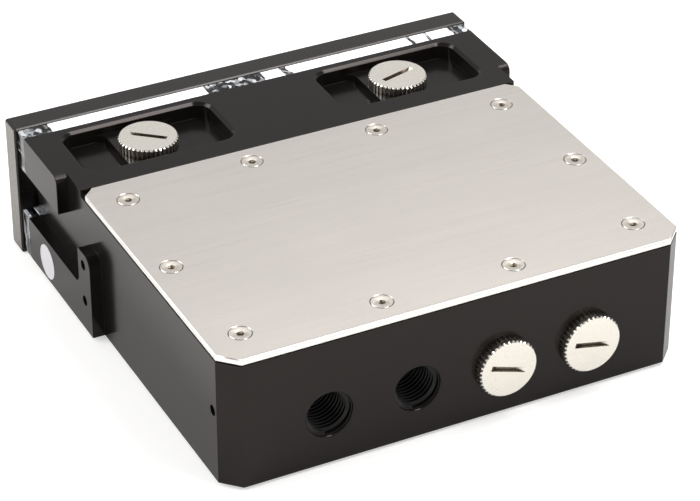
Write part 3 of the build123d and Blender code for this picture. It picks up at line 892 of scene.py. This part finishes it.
def build_screw(sizes, name, length, threaded):
    """A countersunk socket screw, its head's top at the origin and its shank down the z axis."""
    deselect_everything()
    cone = sizes.screw_head - sizes.screw_shank
    bpy.ops.mesh.primitive_circle_add(
        vertices=48, radius=sizes.screw_head, fill_type="NGON", location=(0, 0, 0)
    )
    screw = added(name)
    bpy.ops.object.mode_set(mode="EDIT")
    bpy.ops.mesh.select_all(action="SELECT")
    rounding = 0.1 * MM
    face_share = 1 - rounding / sizes.screw_head
    bpy.ops.transform.resize(value=(face_share, face_share, 1), center_override=(0, 0, 0))
    bpy.ops.mesh.extrude_region_move(TRANSFORM_OT_translate={"value": (0, 0, -rounding)})
    bpy.ops.transform.resize(value=(1 / face_share, 1 / face_share, 1), center_override=(0, 0, 0))
    bpy.ops.mesh.extrude_region_move(TRANSFORM_OT_translate={"value": (0, 0, rounding - sizes.screw_rim)})
    bpy.ops.mesh.extrude_region_move(TRANSFORM_OT_translate={"value": (0, 0, -cone)})
    shank = sizes.screw_core if threaded else sizes.screw_shank
    neck_share = shank / sizes.screw_head
    bpy.ops.transform.resize(value=(neck_share, neck_share, 1), center_override=(0, 0, 0))
    neck = sizes.screw_rim + cone
    bpy.ops.mesh.extrude_region_move(TRANSFORM_OT_translate={"value": (0, 0, neck - length)})
    bpy.ops.mesh.select_all(action="SELECT")
    bpy.ops.mesh.normals_make_consistent(inside=False)
    bpy.ops.object.mode_set(mode="OBJECT")

    # Hexagon socket
    deselect_everything()
    corner_radius = sizes.socket_width / 2 / math.cos(math.pi / 6)
    bpy.ops.mesh.primitive_cylinder_add(
        vertices=6, radius=corner_radius, depth=2 * sizes.socket_depth, location=(0, 0, 0)
    )
    cut(screw, added("socket_cutter"))
    deselect_everything()
    bpy.ops.mesh.primitive_cone_add(
        vertices=48,
        radius1=sizes.socket_width / 2,
        radius2=sizes.socket_width / 2 + 2 * sizes.socket_lead,
        depth=2 * sizes.socket_dish,
        location=(0, 0, 0),
    )
    cut(screw, added("lead_cutter"))
    if threaded:
        plain_tip = 0.5 * MM
        run_out = 0.3 * MM
        rooted = 0.03 * MM
        ridge = helical_ridge(
            "screw_thread",
            base_radius=sizes.screw_core - rooted,
            crest_radius=sizes.screw_shank,
            pitch=sizes.screw_pitch,
            flank_gap=0.0,
            top=-neck - run_out,
            turns=(length - neck - run_out - plain_tip) / sizes.screw_pitch,
            steps_per_turn=16,
        )
        join(screw, [ridge])
    clean(screw, smooth_degrees=30)
    return screw


def build_screw_set(sizes, node, name, axis, threaded):
    """One screw for each solid of a CAD node, joined into one piece."""
    boxes = solid_boxes(node)
    out = Vector(axis)
    low, high = boxes[0]
    length = abs((high - low).dot(out))
    pattern = build_screw(sizes, name, length + sizes.screw_rise, threaded)
    copies = []
    for i, (low, high) in enumerate(boxes):
        middle = (low + high) / 2
        place = middle + out * (length / 2 + sizes.screw_rise)
        # Each screw stopped at its own angle when it was tightened
        turn = Matrix.Rotation(math.radians(TIGHTENED_APART * i), 4, "Z")
        copies.append(placed_copy(pattern, f"{name}_{i + 1}", seat_matrix(place, out) @ turn))
    bpy.data.objects.remove(pattern)
    joined = join(copies[0], copies[1:])
    joined.name = name
    return joined


# Operators


class RESERVOIR_OT_body(bpy.types.Operator):
    """Builds the milled body with its broken edges"""

    bl_idname = "reservoir.body"
    bl_label = "Milled body"

    def execute(self, context):
        sizes = context.scene.reservoir_sizes
        body = merged_copy("reservoir_body", "milled_body")
        shorten_port_mouths(body, port_seats().values(), sizes.port_mouth)
        chamfer_port_rims(body, port_seats().values(), sizes.port_chamfer)
        break_edges(body, sizes.body_edge)
        finish_piece(body, milled_black_acetal, ROOT, "black_acetal", "reservoir_body")
        return {"FINISHED"}


class RESERVOIR_OT_port_threads(bpy.types.Operator):
    """Cuts the threads of the four rear ports and the two fill ports"""

    bl_idname = "reservoir.port_threads"
    bl_label = "Port threads"

    def execute(self, context):
        sizes = context.scene.reservoir_sizes
        rear = build_port_thread(sizes, "rear_thread_pattern", REAR_THREAD_DEPTH)
        fill = build_port_thread(sizes, "fill_thread_pattern", FILL_THREAD_DEPTH)
        for name, seat in port_seats().items():
            pattern = fill if "fill" in name else rear
            thread = placed_copy(pattern, name, seat)
            finish_piece(thread, tapped_black_acetal, ROOT, "black_acetal")
        bpy.data.objects.remove(rear)
        bpy.data.objects.remove(fill)
        return {"FINISHED"}


class RESERVOIR_OT_plugs(bpy.types.Operator):
    """Builds the knurled fill caps and port plugs with their sealing rings"""

    bl_idname = "reservoir.plugs"
    bl_label = "Caps and plugs"

    def execute(self, context):
        sizes = context.scene.reservoir_sizes
        for name, angle in SLOT_ANGLES.items():
            pattern = build_plug(sizes, name + "_pattern", angle)
            plug = placed_copy(pattern, name + "_knurled", seat_of_plug(name))
            bpy.data.objects.remove(pattern)
            finish_piece(plug, turned_nickel_plated_brass, body_of_node(name), "nickel_plated_brass", name)
            dress_node(name + "_seal", moulded_nitrile_rubber)
        return {"FINISHED"}


class RESERVOIR_OT_front(bpy.types.Operator):
    """Builds the bezel and the clear block behind it, and dresses the block's seals"""

    bl_idname = "reservoir.front"
    bl_label = "Bezel and clear block"

    def execute(self, context):
        sizes = context.scene.reservoir_sizes
        bezel = merged_copy("front_bezel", "machined_bezel")
        break_edges(bezel, sizes.bezel_edge)
        skin = bead_blasted_black_anodised_aluminium
        finish_piece(bezel, skin, ROOT, "black_anodised_aluminium", "front_bezel")
        block = merged_copy("window_block", "clear_window_block")
        break_edges(block, sizes.block_edge)
        leave_air_film(block, sizes.air_film)
        finish_piece(block, polished_clear_acrylic, ROOT, "clear_acrylic", "window_block")
        for side in ("right", "left"):
            dress_node("window_seal_" + side, moulded_nitrile_rubber)
        return {"FINISHED"}


class RESERVOIR_OT_plate(bpy.types.Operator):
    """Builds the brushed top plate and dresses the seal under it"""

    bl_idname = "reservoir.plate"
    bl_label = "Top plate"

    def execute(self, context):
        sizes = context.scene.reservoir_sizes
        plate = merged_copy("top_plate", "brushed_top_plate")
        relieve_lower_rim(plate, sizes.plate_relief)
        break_edges(plate, sizes.plate_edge)
        finish_piece(plate, belt_brushed_stainless_sheet, ROOT, "brushed_plate", "top_plate")
        dress_node("tank_seal", moulded_nitrile_rubber)
        return {"FINISHED"}


class RESERVOIR_OT_screws(bpy.types.Operator):
    """Builds the countersunk screws of the plate and the bezel"""

    bl_idname = "reservoir.screws"
    bl_label = "Screws"

    def execute(self, context):
        sizes = context.scene.reservoir_sizes
        plate = build_screw_set(sizes, "plate_screws", "plate_socket_screws", (0, 0, 1), False)
        finish_piece(plate, tumbled_stainless_screw_steel, ROOT, "stainless_screws", "plate_screws")
        bezel = build_screw_set(sizes, "bezel_screws", "bezel_socket_screws", (0, -1, 0), True)
        finish_piece(bezel, black_oxide_screw_steel, ROOT, "black_screws", "bezel_screws")
        return {"FINISHED"}


class RESERVOIR_OT_sticker(bpy.types.Operator):
    """Dresses the blank sticker"""

    bl_idname = "reservoir.sticker"
    bl_label = "Blank sticker"

    def execute(self, context):
        dress_node("blank_sticker", coated_label_paper)
        return {"FINISHED"}


class RESERVOIR_OT_stage(bpy.types.Operator):
    """Lays the floor, hangs the soft lights and sets the camera"""

    bl_idname = "reservoir.stage"
    bl_label = "Stage"

    def execute(self, context):
        lay_floor()
        hang_light("overhead_softbox", place=(0.0, -0.75, 1.1), size=(1.8, 0.7), watts=3.0)
        hang_light("strip_softbox", place=(-0.44, 0.27, 1.08), size=(0.4, 1.2), watts=13.0, aimed=False)
        hang_light("side_softbox", place=(0.95, -0.45, 0.6), size=(0.8, 0.8), watts=10.0)
        set_world()
        set_camera()
        context.scene.view_settings.view_transform = "Standard"
        return {"FINISHED"}


def lay_floor():
    """A wide sheet of paper under the object."""
    deselect_everything()
    bpy.ops.mesh.primitive_plane_add(size=6, location=(0, 0, 0))
    floor = added("paper_floor")
    floor.data.materials.append(material_of(white_paper_sweep))


def hang_light(name, place, size, watts, aimed=True):
    """A soft rectangular light that looks at the object, or straight down where it isn't aimed."""
    data = bpy.data.lights.new(name, "AREA")
    data.shape = "RECTANGLE"
    data.size, data.size_y = size
    data.energy = watts
    light = bpy.data.objects.new(name, data)
    bpy.context.scene.collection.objects.link(light)
    light.location = place
    if aimed:
        light.rotation_mode = "QUATERNION"
        light.rotation_quaternion = Vector(place).to_track_quat("Z", "Y")


def set_world():
    """A pale room: white at its horizon and greyer overhead, and dimmer for what only lights the object."""
    world = bpy.data.worlds.new("pale_room")
    bpy.context.scene.world = world
    add = node_adder(world)
    direction = add("TexCoord", {})["Generated"]
    height = add("SeparateXYZ", {"Vector": direction})["Z"]
    fade = {"Value": height, "From Min": 0.3, "From Max": 0.85, "To Min": 0.82, "To Max": 0.41}
    level = add("MapRange", fade)["Result"]
    camera_ray = add("LightPath", {})["Is Camera Ray"]
    seen = add("Mix", {"Factor": camera_ray, "A": level, "B": 1.0}, data_type="FLOAT")["Result"]
    background = add("Background", {"Strength": seen})
    add("OutputWorld", {"Surface": background[0]})


def set_camera():
    """The camera at the photograph's viewpoint."""
    data = bpy.data.cameras.new("photo_camera")
    data.lens = CAMERA_LENS
    data.sensor_width = CAMERA_SENSOR
    data.clip_start = 0.01
    camera = bpy.data.objects.new("photo_camera", data)
    bpy.context.scene.collection.objects.link(camera)
    camera.location = CAMERA_PLACE
    camera.rotation_euler = Euler([math.radians(a) for a in CAMERA_TURN])
    bpy.context.scene.camera = camera


class RESERVOIR_PT_sidebar(bpy.types.Panel):
    """Lists the reservoir's pieces, sizes and colours"""

    bl_idname = "RESERVOIR_PT_sidebar"
    bl_label = "Drive bay reservoir"
    bl_space_type = "VIEW_3D"
    bl_region_type = "UI"
    bl_category = "Reservoir"

    def draw(self, context):
        for operator in OPERATORS:
            self.layout.operator(operator.bl_idname)
        for group in (context.scene.reservoir_sizes, context.scene.reservoir_colours):
            for name in group.__annotations__:
                self.layout.prop(group, name)


OPERATORS = (
    RESERVOIR_OT_body,
    RESERVOIR_OT_port_threads,
    RESERVOIR_OT_plugs,
    RESERVOIR_OT_front,
    RESERVOIR_OT_plate,
    RESERVOIR_OT_screws,
    RESERVOIR_OT_sticker,
    RESERVOIR_OT_stage,
)
CLASSES = (RESERVOIR_PG_sizes, RESERVOIR_PG_colours, *OPERATORS, RESERVOIR_PT_sidebar)


def register():
    for cls in CLASSES:
        bpy.utils.register_class(cls)
    bpy.types.Scene.reservoir_sizes = PointerProperty(type=RESERVOIR_PG_sizes)
    bpy.types.Scene.reservoir_colours = PointerProperty(type=RESERVOIR_PG_colours)


def unregister():
    del bpy.types.Scene.reservoir_colours
    del bpy.types.Scene.reservoir_sizes
    for cls in reversed(CLASSES):
        bpy.utils.unregister_class(cls)


def main():
    register()
    bpy.ops.reservoir.body()
    bpy.ops.reservoir.port_threads()
    bpy.ops.reservoir.plugs()
    bpy.ops.reservoir.front()
    bpy.ops.reservoir.plate()
    bpy.ops.reservoir.screws()
    bpy.ops.reservoir.sticker()
    bpy.ops.reservoir.stage()


if __name__ == "__main__":
    main()
